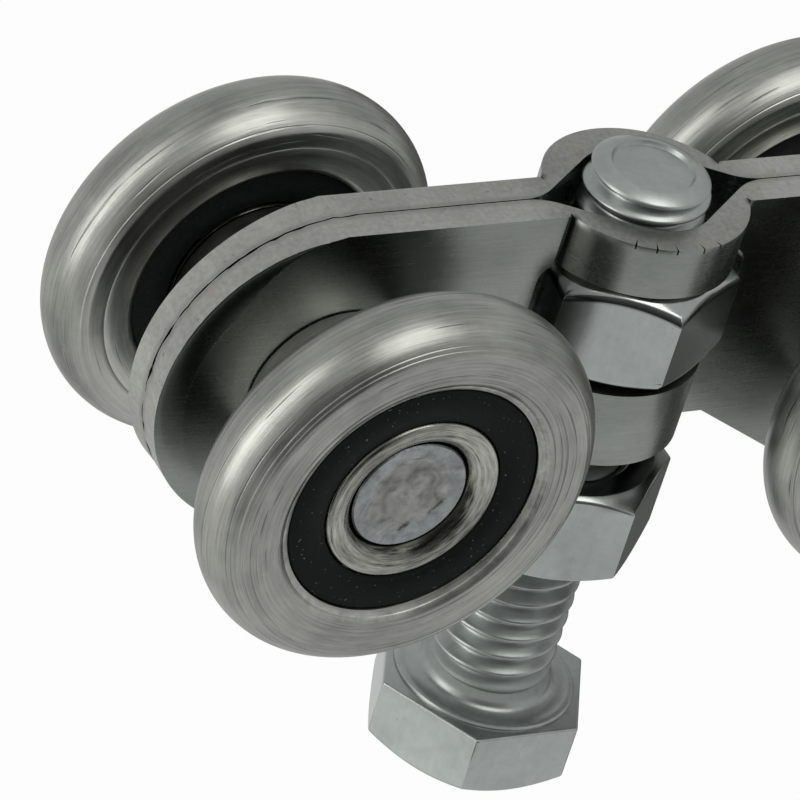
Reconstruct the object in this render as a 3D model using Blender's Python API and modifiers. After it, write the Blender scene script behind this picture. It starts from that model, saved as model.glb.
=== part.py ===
"""Four-wheel hanger trolley for a sliding door, with its hanging bolt.

Two pressed plates stand back to back and carry two axles.  Each axle has a
ball-bearing wheel at both ends.  Between the axles the plates bulge into an
upper and a lower strap around the bolt, and the window between the straps
holds a captive nut.  X is the way of travel, Y lies along the axles and Z is
up; the origin is midway between the wheels on the plane that they run on.
"""

import math

import bmesh
import bpy
from mathutils import Matrix, Vector

MM = 0.001

# Wheels and axles.
WHEELBASE = 39.7 * MM
WHEEL_TRACK = 21.43 * MM
WHEEL_DIAMETER = 25.4 * MM
WHEEL_WIDTH = 5.56 * MM
TREAD_ROUND = 3.18 * MM
WHEEL_STEP_INSET = 2.58 * MM
WHEEL_STEP_DEPTH = 0.1 * MM
SEAT_BEVEL = 0.52 * MM
AXLE_DIAMETER = 6.35 * MM
AXLE_STAKE = 0.25 * MM
AXLE_END_RECESS = 0.44 * MM

# Ball bearing that is built into each wheel.
BALL_DIAMETER = 3.175 * MM
PITCH_DIAMETER = 13.73 * MM
BALLS_PER_WHEEL = 7
INNER_SHOULDER = 1.23 * MM
OUTER_SHOULDER = 1.27 * MM
INNER_RING_WIDTH = 4.68 * MM
RING_BORE_CHAMFER = 0.91 * MM
SEAL_THICKNESS = 0.4 * MM
GROOVE_RELIEF = 0.08 * MM
CAGE_WALL = 1.2 * MM
CAGE_LENGTH = 2.06 * MM

# Pressed plates.
PLATE_THICKNESS = 1.98 * MM
PLATE_SEAM = 0.08 * MM
PLATE_RISE = 11.1 * MM
LOBE_RADIUS = 10.87 * MM
LOBE_OFFSET = 0.56 * MM
TOP_OVERRUN = 1.98 * MM
STRAP_DROP = 5.16 * MM
STRAP_FLAT = 16.35 * MM
BEND_RADIUS = 0.32 * MM
BULGE_FLARE = 0.36 * MM
MOUTH_FLARE = 3.05 * MM
MOUTH_ROUND = 1.2 * MM
WINDOW_SIDE_GAP = 1.03 * MM
WINDOW_LOW = 0.16 * MM
WINDOW_CORNER = 1.19 * MM

# Hanging bolt and its two nuts.
BOLT_DIAMETER = 7.94 * MM
BOLT_LENGTH = 39.37 * MM
BOLT_RISE = 12.86 * MM
BOLT_END_CHAMFER = 1.19 * MM
BOLT_END_DROP = 0.5 * MM
BOLT_END_DISH = 0.12 * MM
HEX_FLATS = 12.7 * MM
HEAD_HEIGHT = 5.08 * MM
WASHER_FACE = 0.24 * MM
WASHER_FACE_DIAMETER = 11.75 * MM
NUT_HEIGHT = 6.67 * MM
CAPTIVE_NUT_LIFT = 0.48 * MM
CAPTIVE_NUT_HEADROOM = 0.23 * MM
NUT_MOUTH = 0.4 * MM
JAM_NUT_DROP = 7.74 * MM
CAPTIVE_NUT_TURN = math.radians(-90.0)
JAM_NUT_TURN = math.radians(-78.0)
HEAD_TURN = math.radians(-121.0)

# Clearances between pieces that meet.
BORE_CLEARANCE = 0.08 * MM
FACE_CLEARANCE = 0.08 * MM
STRAP_CLEARANCE = 0.28 * MM
SEAL_CLEARANCE = 0.08 * MM

# Facets of round pieces.
WHEEL_STEPS = 40
RING_STEPS = 32

AXLE_Z = WHEEL_DIAMETER / 2
HALF_WIDTH = WHEEL_WIDTH / 2
AXLE_RADIUS = AXLE_DIAMETER / 2
BALL_RADIUS = BALL_DIAMETER / 2
PITCH_RADIUS = PITCH_DIAMETER / 2
GROOVE_RADIUS = BALL_RADIUS + GROOVE_RELIEF
RING_RADIUS = PITCH_RADIUS - INNER_SHOULDER
RING_HALF = INNER_RING_WIDTH / 2
SEAT_RADIUS = PITCH_RADIUS + OUTER_SHOULDER
STEP_RADIUS = WHEEL_DIAMETER / 2 - WHEEL_STEP_INSET
BOLT_RADIUS = BOLT_DIAMETER / 2
PLATE_FACE = PLATE_SEAM / 2 + PLATE_THICKNESS
WINDOW_WIDTH = HEX_FLATS + 2 * WINDOW_SIDE_GAP
WINDOW_HEIGHT = NUT_HEIGHT + CAPTIVE_NUT_LIFT + CAPTIVE_NUT_HEADROOM

for old in list(bpy.data.objects):
    bpy.data.objects.remove(old, do_unlink=True)

parts = bpy.data.collections.new("hanger_trolley")
cutters = bpy.data.collections.new("cutters")
bpy.context.scene.collection.children.link(parts)
bpy.context.scene.collection.children.link(cutters)


def material(name, colour, roughness, metallic):
    """A plain Principled material for one kind of piece."""
    made = bpy.data.materials.new(name)
    made.use_nodes = True
    shader = made.node_tree.nodes["Principled BSDF"]
    shader.inputs["Base Color"].default_value = (*colour, 1.0)
    shader.inputs["Roughness"].default_value = roughness
    shader.inputs["Metallic"].default_value = metallic
    made.diffuse_color = (*colour, 1.0)
    return made


def add_object(name, mesh, finish=None, home=parts):
    """Put a mesh into the scene as a named object with its material."""
    made = bpy.data.objects.new(name, mesh)
    home.objects.link(made)
    if finish is not None:
        mesh.materials.append(finish)
    return made


def as_cutter(tool):
    """Hide an object that only serves a Boolean."""
    tool.hide_render = True
    tool.display_type = "WIRE"
    return tool


def turned(name, profile, finish=None, steps=RING_STEPS, home=parts):
    """Turn a profile of (radius, height) points about the local Z axis.

    The points run clockwise with radius to the right and height up.  A
    profile that starts and ends on the axis stays open, any other closes.
    """
    mesh = bpy.data.meshes.new(name)
    shape = bmesh.new()
    points = [shape.verts.new((radius, 0.0, height)) for radius, height in profile]
    for first, second in zip(points, points[1:]):
        shape.edges.new((first, second))
    if profile[0][0] > 0.0:
        shape.edges.new((points[-1], points[0]))
    shape.to_mesh(mesh)
    shape.free()
    made = add_object(name, mesh, finish, home)
    screw = made.modifiers.new("turn", "SCREW")
    screw.axis = "Z"
    screw.angle = math.tau
    screw.steps = steps
    screw.render_steps = steps
    screw.use_merge_vertices = True
    screw.merge_threshold = 0.00001
    screw.use_smooth_shade = True
    return made


def prism(name, outline, direction, finish=None, home=parts):
    """Extrude a flat closed outline of 3-D points along a direction."""
    mesh = bpy.data.meshes.new(name)
    shape = bmesh.new()
    face = shape.faces.new([shape.verts.new(point) for point in outline])
    grown = bmesh.ops.extrude_face_region(shape, geom=[face])
    moved = [item for item in grown["geom"] if isinstance(item, bmesh.types.BMVert)]
    bmesh.ops.translate(shape, verts=moved, vec=direction)
    bmesh.ops.recalc_face_normals(shape, faces=shape.faces)
    shape.to_mesh(mesh)
    shape.free()
    return add_object(name, mesh, finish, home)


def boolean(target, tool, operation):
    """Cut, join or trim an object with another one."""
    change = target.modifiers.new(operation.lower(), "BOOLEAN")
    change.operation = operation
    change.solver = "EXACT"
    change.object = as_cutter(tool)
    return change


def arc(centre, radius, start, end, count):
    """Points on a circle from one angle to another, both ends included."""
    points = []
    for step in range(count + 1):
        angle = start + (end - start) * step / count
        points.append((centre[0] + radius * math.cos(angle), centre[1] + radius * math.sin(angle)))
    return points


def empty_at(name, location, rotation=(0.0, 0.0, 0.0)):
    """An axis that moving pieces hang on."""
    made = bpy.data.objects.new(name, None)
    parts.objects.link(made)
    made.location = location
    made.rotation_euler = rotation
    return made


turned_steel = material("turned_steel", (0.50, 0.50, 0.47), 0.34, 1.0)
ring_steel = material("ring_steel", (0.60, 0.60, 0.57), 0.30, 1.0)
seal_rubber = material("seal_rubber", (0.02, 0.02, 0.022), 0.45, 0.0)
ball_steel = material("ball_steel", (0.72, 0.72, 0.72), 0.08, 1.0)
cage_nylon = material("cage_nylon", (0.55, 0.50, 0.38), 0.5, 0.0)
axle_steel = material("axle_steel", (0.62, 0.63, 0.63), 0.36, 1.0)
spacer_steel = material("spacer_steel", (0.48, 0.49, 0.45), 0.36, 1.0)
plate_zinc = material("plate_zinc", (0.44, 0.45, 0.42), 0.36, 1.0)
bright_zinc = material("bright_zinc", (0.66, 0.69, 0.70), 0.26, 1.0)


def groove(side, shoulder, count):
    """Race groove points in (radius, height), side +1 outer race, -1 inner race."""
    reach = abs(shoulder - PITCH_RADIUS)
    half = math.acos(reach / GROOVE_RADIUS)
    middle = 0.0 if side > 0 else math.pi
    return arc((PITCH_RADIUS, 0.0), GROOVE_RADIUS, middle - half, middle + half, count)


# Wheel with the outer race turned into its bore.
tread_centre = WHEEL_DIAMETER / 2 - TREAD_ROUND
outer_break = math.asin(min(1.0, HALF_WIDTH / TREAD_ROUND))
inner_break = math.asin(min(1.0, (HALF_WIDTH - WHEEL_STEP_DEPTH) / TREAD_ROUND))
wheel_profile = arc((tread_centre, 0.0), TREAD_ROUND, outer_break, -inner_break, 8)
wheel_profile += [
    (STEP_RADIUS, WHEEL_STEP_DEPTH - HALF_WIDTH),
    (STEP_RADIUS, -HALF_WIDTH),
    (SEAT_RADIUS + SEAT_BEVEL, -HALF_WIDTH),
    (SEAT_RADIUS, SEAT_BEVEL - HALF_WIDTH),
]
wheel_profile += groove(1, SEAT_RADIUS, 4)
wheel_profile += [
    (SEAT_RADIUS, HALF_WIDTH - SEAT_BEVEL),
    (SEAT_RADIUS + SEAT_BEVEL, HALF_WIDTH),
]

# Inner ring, which stays on the axle.
ring_bore = AXLE_RADIUS + BORE_CLEARANCE
ring_profile = [
    (ring_bore + RING_BORE_CHAMFER, RING_HALF),
    (RING_RADIUS, RING_HALF),
]
ring_profile += groove(-1, RING_RADIUS, 4)
ring_profile += [
    (RING_RADIUS, -RING_HALF),
    (ring_bore, -RING_HALF),
    (ring_bore, RING_HALF - RING_BORE_CHAMFER),
]

# Seal discs, one on each side of the balls.
seal_outside = SEAT_RADIUS - SEAL_CLEARANCE
seal_inside = RING_RADIUS + 2 * SEAL_CLEARANCE
seal_profile = [
    (seal_inside, SEAL_THICKNESS / 2),
    (seal_outside, SEAL_THICKNESS / 2),
    (seal_outside, -SEAL_THICKNESS / 2),
    (seal_inside, -SEAL_THICKNESS / 2),
]
seal_height = RING_HALF - SEAL_THICKNESS / 2

# Crown cage, open towards the outer seal.
cage_low = FACE_CLEARANCE + SEAL_THICKNESS - RING_HALF
cage_inside = PITCH_RADIUS - CAGE_WALL / 2
cage_outside = PITCH_RADIUS + CAGE_WALL / 2
cage_profile = [
    (cage_inside, cage_low + CAGE_LENGTH),
    (cage_outside, cage_low + CAGE_LENGTH),
    (cage_outside, cage_low),
    (cage_inside, cage_low),
]

# Spacer between the plate and the inner ring.
spacer_low = PLATE_FACE + FACE_CLEARANCE - WHEEL_TRACK / 2
spacer_high = -RING_HALF - FACE_CLEARANCE
spacer_profile = [
    (ring_bore, spacer_high),
    (RING_RADIUS, spacer_high),
    (RING_RADIUS, spacer_low),
    (ring_bore, spacer_low),
]

for row, outward in (("front", -1), ("back", 1)):
    for column, along in (("left", -1), ("right", 1)):
        corner = row + "_" + column
        axis = empty_at(
            "axis_" + corner,
            (along * WHEELBASE / 2, outward * WHEEL_TRACK / 2, AXLE_Z),
            (-outward * math.pi / 2, 0.0, 0.0),
        )
        fitted = [
            turned("wheel_" + corner, wheel_profile, turned_steel, WHEEL_STEPS),
            turned("inner_ring_" + corner, ring_profile, ring_steel),
            turned("spacer_" + corner, spacer_profile, spacer_steel),
        ]
        for place, level in (("outer", seal_height), ("inner", -seal_height)):
            seal = turned("seal_" + place + "_" + corner, seal_profile, seal_rubber)
            seal.location = (0.0, 0.0, level)
            fitted.append(seal)
        cage = turned("cage_" + corner, cage_profile, cage_nylon, 3 * BALLS_PER_WHEEL)
        fitted.append(cage)
        for number in range(BALLS_PER_WHEEL):
            turn = math.tau * number / BALLS_PER_WHEEL
            spot = Vector((PITCH_RADIUS * math.cos(turn), PITCH_RADIUS * math.sin(turn), 0.0))
            sphere = bpy.data.meshes.new("ball")
            shape = bmesh.new()
            bmesh.ops.create_icosphere(shape, subdivisions=2, radius=BALL_RADIUS)
            for face in shape.faces:
                face.smooth = True
            shape.to_mesh(sphere)
            shape.free()
            ball = add_object("ball_" + corner + "_" + str(number + 1), sphere, ball_steel)
            ball.location = spot
            fitted.append(ball)
            hole = bpy.data.meshes.new("pocket")
            shape = bmesh.new()
            bmesh.ops.create_cone(
                shape,
                cap_ends=True,
                segments=10,
                radius1=GROOVE_RADIUS,
                radius2=GROOVE_RADIUS,
                depth=4 * CAGE_WALL,
                matrix=Matrix.Rotation(math.pi / 2, 4, "Y"),
            )
            shape.to_mesh(hole)
            shape.free()
            pocket = add_object("pocket_" + corner + "_" + str(number + 1), hole, None, cutters)
            pocket.location = spot
            pocket.rotation_euler = (0.0, 0.0, turn)
            pocket.parent = axis
            boolean(cage, pocket, "DIFFERENCE")
        for piece in fitted:
            piece.parent = axis

# Axles: a plain pin that carries a wheel at each end, staked over both inner rings.
axle_half = WHEEL_TRACK / 2 + RING_HALF - AXLE_END_RECESS
stake_start = axle_half - 2 * AXLE_STAKE
axle_profile = [
    (0.0, axle_half),
    (AXLE_RADIUS + AXLE_STAKE, axle_half),
    (AXLE_RADIUS, stake_start),
    (AXLE_RADIUS, -stake_start),
    (AXLE_RADIUS + AXLE_STAKE, -axle_half),
    (0.0, -axle_half),
]
for column, along in (("left", -1), ("right", 1)):
    axle = turned("axle_" + column, axle_profile, axle_steel)
    axle.location = (along * WHEELBASE / 2, 0.0, AXLE_Z)
    axle.rotation_euler = (math.pi / 2, 0.0, 0.0)

# Plan of one plate seen from above: straight wings and a bulge round the bolt.
# Outside, the bulge is a little wider than deep and meets the wings in a sharp
# bend.  Inside, it opens in a straight flare towards the seam.
bulge_inside = BOLT_RADIUS + STRAP_CLEARANCE
bulge_outside = bulge_inside + PLATE_THICKNESS
bulge_half = bulge_outside + BULGE_FLARE
wing_end = WHEELBASE / 2 + LOBE_OFFSET + 2 * LOBE_RADIUS


def eased(first, corner, last, count):
    """Points of a short curve round a corner, both ends included."""
    points = []
    for step in range(count + 1):
        share = step / count
        keep = (1.0 - share) ** 2
        pull = 2.0 * share * (1.0 - share)
        x = keep * first[0] + pull * corner[0] + share ** 2 * last[0]
        y = keep * first[1] + pull * corner[1] + share ** 2 * last[1]
        points.append((x, y))
    return points


bend_start = math.asin(min(1.0, PLATE_FACE / bulge_outside))
bend_stop = bend_start + BEND_RADIUS / bulge_outside
bend_x = bulge_half * math.cos(bend_start)
bulge = []
for step in range(21):
    turn = math.pi + bend_stop + (math.pi - 2 * bend_stop) * step / 20
    bulge.append((bulge_half * math.cos(turn), bulge_outside * math.sin(turn)))
left_bend = eased((-bend_x - BEND_RADIUS, -PLATE_FACE), (-bend_x, -PLATE_FACE), bulge[0], 4)
right_bend = [(-x, y) for x, y in reversed(left_bend)]
outer_path = [(-wing_end, -PLATE_FACE)] + left_bend[:-1] + bulge + right_bend[1:] + [(wing_end, -PLATE_FACE)]

mouth = (-bulge_inside - MOUTH_FLARE, -PLATE_SEAM / 2)
mouth_turn = math.atan2(mouth[1], mouth[0]) + math.tau
mouth_turn += math.acos(bulge_inside / math.hypot(*mouth))
touch = (bulge_inside * math.cos(mouth_turn), bulge_inside * math.sin(mouth_turn))
way = math.hypot(touch[0] - mouth[0], touch[1] - mouth[1])
flare_x = mouth[0] + (touch[0] - mouth[0]) * MOUTH_ROUND / way
flare_y = mouth[1] + (touch[1] - mouth[1]) * MOUTH_ROUND / way
left_mouth = eased((mouth[0] - MOUTH_ROUND, mouth[1]), mouth, (flare_x, flare_y), 4)
right_mouth = [(-x, y) for x, y in reversed(left_mouth)]
hollow = arc((0.0, 0.0), bulge_inside, mouth_turn, 3 * math.pi - mouth_turn, 14)
inner_path = [(-wing_end, mouth[1])] + left_mouth + hollow + right_mouth + [(wing_end, mouth[1])]
plan = outer_path + list(reversed(inner_path))

# Side view of the plate: a level top that ends in a small corner, round lobes
# behind the wheels and a raised underside below the lower strap.
lobe_x = WHEELBASE / 2 + LOBE_OFFSET
lobe_z = PLATE_RISE - LOBE_RADIUS
run = lobe_x - STRAP_FLAT / 2
fall = lobe_z + STRAP_DROP
reach = math.hypot(run, fall)
slope = math.atan2(-fall, -run) + math.acos(LOBE_RADIUS / reach)
lobe_start = math.acos(TOP_OVERRUN / LOBE_RADIUS)
right_lobe = arc((lobe_x, lobe_z), LOBE_RADIUS, lobe_start, slope, 24)
side_view = [(lobe_x + TOP_OVERRUN, PLATE_RISE)] + right_lobe + [(STRAP_FLAT / 2, -STRAP_DROP)]
side_view += [(-x, z) for x, z in reversed(side_view)]

window_x = WINDOW_WIDTH / 2 - WINDOW_CORNER
window_low = WINDOW_LOW + WINDOW_CORNER
window_high = WINDOW_LOW + WINDOW_HEIGHT - WINDOW_CORNER
window = arc((window_x, window_high), WINDOW_CORNER, 0.0, math.pi / 2, 4)
window += arc((-window_x, window_high), WINDOW_CORNER, math.pi / 2, math.pi, 4)
window += arc((-window_x, window_low), WINDOW_CORNER, math.pi, 1.5 * math.pi, 4)
window += arc((window_x, window_low), WINDOW_CORNER, 1.5 * math.pi, math.tau, 4)

plate_depth = 2 * bulge_outside
for row, turn in (("front", 0.0), ("back", math.pi)):
    strip = [(x, y, AXLE_Z - 2 * LOBE_RADIUS) for x, y in plan]
    plate = prism("plate_" + row, strip, (0.0, 0.0, 4 * LOBE_RADIUS), plate_zinc)
    shape_cut = [(x, -plate_depth, AXLE_Z + z) for x, z in side_view]
    through = (0.0, 2 * plate_depth, 0.0)
    boolean(plate, prism("outline_" + row, shape_cut, through, None, cutters), "INTERSECT")
    window_cut = [(x, -plate_depth, AXLE_Z + z) for x, z in window]
    boolean(plate, prism("window_" + row, window_cut, through, None, cutters), "DIFFERENCE")
    for column, along in (("left", -1), ("right", 1)):
        hole_profile = [
            (0.0, plate_depth),
            (ring_bore, plate_depth),
            (ring_bore, -plate_depth),
            (0.0, -plate_depth),
        ]
        hole = turned("hole_" + row + "_" + column, hole_profile, None, RING_STEPS, cutters)
        hole.location = (along * WHEELBASE / 2, 0.0, AXLE_Z)
        hole.rotation_euler = (math.pi / 2, 0.0, 0.0)
        boolean(plate, hole, "DIFFERENCE")
    plate.rotation_euler = (0.0, 0.0, turn)
    for cutter in cutters.objects:
        if cutter.name.endswith(row) and cutter.parent is None:
            cutter.rotation_euler = (0.0, 0.0, turn)

# Hexagons are chamfered where a cone trims their corners.
hex_radius = HEX_FLATS / math.sqrt(3.0)
face_radius = 0.475 * HEX_FLATS
overrun = 1.0 * MM


def hexagon(name, low, high, turn, finish=None, home=parts):
    """A hexagon bar between two levels with a corner at the given angle."""
    outline = []
    for step in range(6):
        angle = turn + step * math.pi / 3
        outline.append((hex_radius * math.cos(angle), hex_radius * math.sin(angle), low))
    return prism(name, outline, (0.0, 0.0, high - low), finish, home)


def nut(name, low, turn):
    """A hexagon nut, chamfered at both ends, with a plain bore for the thread."""
    high = low + NUT_HEIGHT
    made = hexagon(name, low, high, turn, bright_zinc)
    past = hex_radius + overrun
    past_drop = (past - face_radius) * math.tan(math.radians(30.0))
    trim_profile = [
        (0.0, high),
        (face_radius, high),
        (past, high - past_drop),
        (past, low + past_drop),
        (face_radius, low),
        (0.0, low),
    ]
    boolean(made, turned("trim_" + name, trim_profile, None, 48, cutters), "INTERSECT")
    bore = BOLT_RADIUS + BORE_CLEARANCE
    bore_profile = [
        (0.0, high + overrun),
        (bore + NUT_MOUTH + overrun, high + overrun),
        (bore, high - NUT_MOUTH),
        (bore, low + NUT_MOUTH),
        (bore + NUT_MOUTH + overrun, low - overrun),
        (0.0, low - overrun),
    ]
    boolean(made, turned("thread_" + name, bore_profile, None, RING_STEPS, cutters), "DIFFERENCE")
    return made


nut("captive_nut", AXLE_Z + WINDOW_LOW + CAPTIVE_NUT_LIFT, CAPTIVE_NUT_TURN)
nut("jam_nut", AXLE_Z - JAM_NUT_DROP - NUT_HEIGHT, JAM_NUT_TURN)

# Hanging bolt: hexagon head at the bottom, shank up through both straps.
bolt_top = AXLE_Z + BOLT_RISE
bearing = bolt_top - BOLT_LENGTH
head_low = bearing - HEAD_HEIGHT
hex_top = bearing - WASHER_FACE
bolt = hexagon("hanger_bolt", head_low, hex_top, HEAD_TURN, bright_zinc)
past = hex_radius + overrun
past_drop = (past - face_radius) * math.tan(math.radians(30.0))
head_profile = [
    (0.0, hex_top + overrun),
    (past, hex_top + overrun),
    (past, head_low + past_drop),
    (face_radius, head_low),
    (0.0, head_low),
]
boolean(bolt, turned("trim_head", head_profile, None, 48, cutters), "INTERSECT")
end_rim = BOLT_RADIUS - BOLT_END_CHAMFER
shank_profile = [
    (0.0, bolt_top - BOLT_END_DISH),
    (end_rim - 2 * BOLT_END_DISH, bolt_top - BOLT_END_DISH),
    (end_rim, bolt_top),
    (BOLT_RADIUS, bolt_top - BOLT_END_DROP),
    (BOLT_RADIUS, bearing),
    (WASHER_FACE_DIAMETER / 2, bearing),
    (WASHER_FACE_DIAMETER / 2, hex_top - overrun),
    (0.0, hex_top - overrun),
]
boolean(bolt, turned("shank", shank_profile, None, RING_STEPS, cutters), "UNION")
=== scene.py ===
"""Looks of the hanger trolley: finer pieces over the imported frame, their finishes and a plain studio."""

import math

import bpy
from mathutils import Matrix, Vector, noise


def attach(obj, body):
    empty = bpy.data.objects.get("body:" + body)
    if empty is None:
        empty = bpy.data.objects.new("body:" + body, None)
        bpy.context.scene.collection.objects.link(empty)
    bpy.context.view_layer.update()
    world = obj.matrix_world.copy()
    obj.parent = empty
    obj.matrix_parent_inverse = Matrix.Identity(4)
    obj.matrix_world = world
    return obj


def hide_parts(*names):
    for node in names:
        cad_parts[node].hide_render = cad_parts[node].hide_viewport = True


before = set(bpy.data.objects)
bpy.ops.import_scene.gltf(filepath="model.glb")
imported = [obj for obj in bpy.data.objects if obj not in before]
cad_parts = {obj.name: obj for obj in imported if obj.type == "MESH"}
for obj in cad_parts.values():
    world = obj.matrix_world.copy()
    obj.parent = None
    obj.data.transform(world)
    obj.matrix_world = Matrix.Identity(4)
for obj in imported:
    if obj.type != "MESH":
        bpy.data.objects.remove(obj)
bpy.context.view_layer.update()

# Wheels.  Each is one piece of turned steel: a full-round tread, flat faces
# with the marks of the lathe, a bevelled seat for the seal and the outer race
# of its own ball bearing.  It runs on the balls round the end of an axle.
# The trolley is made to inch sizes, so lengths here count in 32nds of an inch.
unit = 0.0254 / 32.0
wheel_x = 25.0
wheel_y = 13.5
axle_z = 16.0
corners = ("front_left", "front_right", "back_left", "back_right")


def arc(centre, radius, start, end, steps):
    """Points on a circle in degrees, both ends included."""
    points = []
    for step in range(steps + 1):
        angle = math.radians(start + (end - start) * step / steps)
        points.append((centre[0] + radius * math.cos(angle), centre[1] + radius * math.sin(angle)))
    return points


def finish_mesh(piece, smooth_angle=32.0, flats=False):
    """Merge, point the faces outwards and shade the round parts smooth; large flats can stay flat."""
    bpy.ops.object.mode_set(mode="EDIT")
    bpy.ops.mesh.select_all(action="SELECT")
    bpy.ops.mesh.remove_doubles(threshold=1e-6)
    bpy.ops.mesh.normals_make_consistent(inside=False)
    bpy.ops.object.mode_set(mode="OBJECT")
    bpy.ops.object.shade_smooth_by_angle(angle=math.radians(smooth_angle))
    if flats:
        change = piece.modifiers.new("flats", "WEIGHTED_NORMAL")
        change.keep_sharp = True
        bpy.ops.object.modifier_apply(modifier=change.name)
    return piece


def open_loop(piece):
    """Take the edge between the last and first points out of a profile that ends on its axis."""
    last = len(piece.data.vertices) - 1
    for vertex in piece.data.vertices:
        vertex.select = vertex.index in (0, last)
    for edge in piece.data.edges:
        edge.select = set(edge.vertices) == {0, last}
    bpy.ops.object.mode_set(mode="EDIT")
    bpy.ops.mesh.delete(type="EDGE")
    bpy.ops.object.mode_set(mode="OBJECT")


def turned(name, profile, steps, closed=True):
    """Spin a profile of (radius, reach along the axle) round the front left axle.

    The reach counts outwards from the middle of the wheel.
    """
    bpy.ops.object.select_all(action="DESELECT")
    bpy.ops.mesh.primitive_circle_add(vertices=len(profile), radius=0.01, fill_type="NOTHING")
    piece = bpy.context.object
    piece.name = name
    for vertex, (radius, reach) in zip(piece.data.vertices, profile):
        vertex.co = Vector((radius - wheel_x, -wheel_y - reach, axle_z)) * unit
    if not closed:
        open_loop(piece)
    bpy.ops.object.mode_set(mode="EDIT")
    bpy.ops.mesh.select_mode(type="VERT")
    bpy.ops.mesh.select_all(action="SELECT")
    bpy.ops.mesh.spin(steps=steps, angle=math.tau, center=(-wheel_x * unit, 0.0, axle_z * unit), axis=(0.0, 1.0, 0.0))
    bpy.ops.object.mode_set(mode="OBJECT")
    return finish_mesh(piece)


def copies(piece, stem):
    """The front left piece and its copies at the other three corners."""
    across = Matrix.Translation((2 * wheel_x * unit, 0.0, 0.0))
    round_about = Matrix.Rotation(math.pi, 4, "Z")
    places = {"front_right": across, "back_left": round_about @ across, "back_right": round_about}
    made = {"front_left": piece}
    piece.name = stem + "_front_left"
    for corner, place in places.items():
        other = piece.copy()
        other.data = piece.data.copy()
        other.data.transform(place)
        other.name = stem + "_" + corner
        bpy.context.scene.collection.objects.link(other)
        made[corner] = other
    return made


class Value:
    """A value in a material, with the sums that the finishes below use."""

    def __init__(self, tree, socket):
        self.tree = tree
        self.socket = socket

    def node(self, kind, settings, sockets, output=0):
        """Add a node: its settings first, then the values or links of its sockets."""
        made = self.tree.nodes.new(kind)
        for key, setting in settings.items():
            if key == "stops":
                ramp = made.color_ramp
                while len(ramp.elements) < len(setting):
                    ramp.elements.new(0.5)
                for element, (place, colour) in zip(ramp.elements, setting):
                    element.position = place
                    element.color = (*colour, 1.0)
            else:
                setattr(made, key, setting)
        for key, given in sockets.items():
            if isinstance(given, Value):
                self.tree.links.new(given.socket, made.inputs[key])
            else:
                made.inputs[key].default_value = given
        return Value(self.tree, made.outputs[output])

    def maths(self, operation, first, second=0.0, third=0.0):
        return self.node("ShaderNodeMath", {"operation": operation}, {0: first, 1: second, 2: third})

    def __add__(self, other):
        return self.maths("ADD", self, other)

    def __radd__(self, other):
        return self.maths("ADD", other, self)

    def __sub__(self, other):
        return self.maths("SUBTRACT", self, other)

    def __rsub__(self, other):
        return self.maths("SUBTRACT", other, self)

    def __mul__(self, other):
        return self.maths("MULTIPLY", self, other)

    def __rmul__(self, other):
        return self.maths("MULTIPLY", other, self)

    def __truediv__(self, other):
        return self.maths("DIVIDE", self, other)

    def __pow__(self, other):
        return self.maths("POWER", self, other)

    def __abs__(self):
        return self.maths("ABSOLUTE", self)

    def smoother(self, low, high):
        """0 below low, 1 above high, smooth between."""
        return self.node(
            "ShaderNodeMapRange",
            {"interpolation_type": "SMOOTHSTEP"},
            {"Value": self, "From Min": low, "From Max": high},
        )

    def near(self, middle, width):
        """1 at the middle, falling to 0 a width away."""
        return 1.0 - abs(self - middle).smoother(0.0, width)

    def mix(self, low, high):
        """A colour between two colours by this value."""
        sockets = {"Factor": self}
        sockets[6] = low if isinstance(low, Value) else (*low, 1.0)
        sockets[7] = high if isinstance(high, Value) else (*high, 1.0)
        return self.node("ShaderNodeMix", {"data_type": "RGBA", "clamp_factor": True}, sockets, 2)


def start_finish(name, metallic, specular=0.5):
    """A new material, its object coordinates and its shader."""
    made = bpy.data.materials.new(name)
    made.use_nodes = True
    tree = made.node_tree
    shader = tree.nodes["Principled BSDF"]
    shader.inputs["Metallic"].default_value = metallic
    shader.inputs["Specular IOR Level"].default_value = specular
    spot = Value(tree, tree.nodes.new("ShaderNodeTexCoord").outputs["Object"])
    return made, spot, shader


def xyz(spot):
    """The three coordinates of a point in 32nds of an inch."""
    parted = spot.node("ShaderNodeSeparateXYZ", {}, {"Vector": spot})
    sockets = parted.socket.node.outputs
    return [Value(spot.tree, sockets[axis]) / unit for axis in range(3)]


def grain(along, across, up, scale, detail=2.0, rough=0.55):
    """Noise from -0.5 to 0.5 about 0 over three values."""
    place = along.node("ShaderNodeCombineXYZ", {}, {"X": along, "Y": across, "Z": up})
    made = along.node(
        "ShaderNodeTexNoise",
        {"noise_dimensions": "3D"},
        {"Vector": place, "Scale": scale, "Detail": detail, "Roughness": rough},
    )
    return made - 0.5


def shade(shader, colour, roughness, height=None, distance=0.0001, strength=1.0):
    """Feed colour, roughness and a bump height in metres to a shader."""
    tree = colour.tree
    tree.links.new(colour.socket, shader.inputs["Base Color"])
    tree.links.new(roughness.socket, shader.inputs["Roughness"])
    if height is not None:
        bump = colour.node("ShaderNodeBump", {}, {"Height": height, "Strength": strength, "Distance": distance})
        tree.links.new(bump.socket, shader.inputs["Normal"])


def round_axle(spot):
    """Distance from the nearest axle and from the middle plane, and the angle round the axle."""
    x, y, z = xyz(spot)
    out = abs(x) - wheel_x
    rise = z - axle_z
    radius = (out * out + rise * rise) ** 0.5
    angle = out.maths("ARCTAN2", rise, out)
    return radius, abs(y), angle, (x, y, z)


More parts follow.
